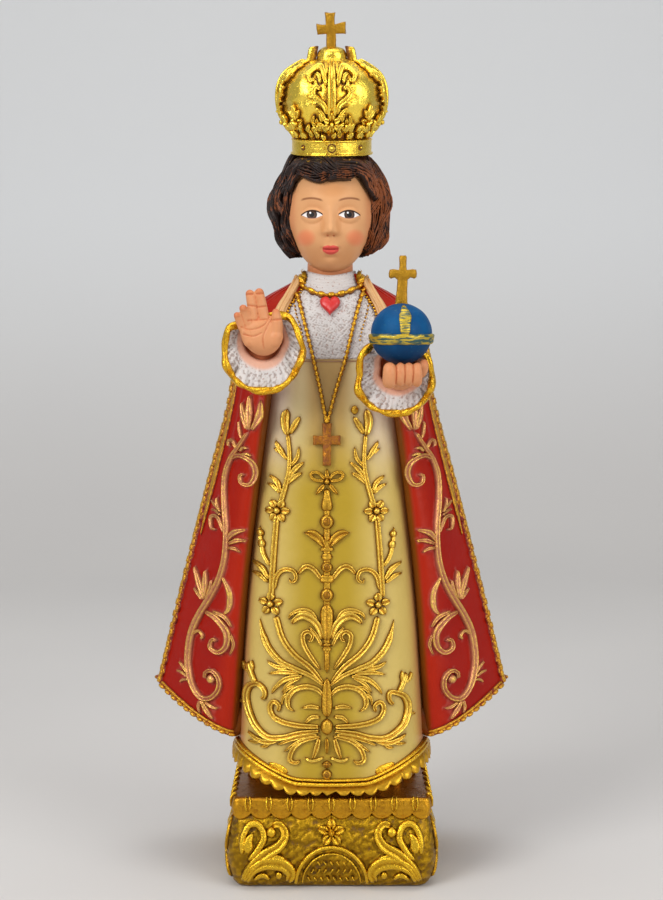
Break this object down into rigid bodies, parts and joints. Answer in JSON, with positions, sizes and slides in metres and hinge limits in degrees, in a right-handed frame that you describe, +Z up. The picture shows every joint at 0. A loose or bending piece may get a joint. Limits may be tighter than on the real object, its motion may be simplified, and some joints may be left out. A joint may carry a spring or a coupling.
{
  "type": "infant of prague statue",
  "caption": "Crowned child statuette in a bell-shaped mantle, one hand raised and an orb in the other, on a square carved plinth.",
  "frame": {"origin": "centre of the plinth's flat underside", "axes": "+Z up, the figure faces -Y, +X to the viewer's right as the figure is seen from the front"},
  "size_m": [0.1283, 0.0917, 0.3056],
  "materials": {
    "mantle_red": "satin red paint on cast resin, darker in the folds",
    "crown_gold": "bright gold metallic paint with brown wash in the carving",
    "gold_paint": "gold metallic paint on raised scrollwork, trims, cuffs and plinth",
    "robe_cream": "satin cream paint, whiter at the chest, airbrushed brown at the edges",
    "lace_white": "matt white paint on stippled lace",
    "skin": "satin flesh paint with blushed cheeks",
    "hair": "dark brown paint, dry-brushed lighter on the ridges",
    "orb_blue": "satin blue paint",
    "heart_red": "gloss red paint"
  },
  "bodies": {
    "root": {"infant_figure": "mantle_red", "crown": "crown_gold"}
  },
  "joints": []
}
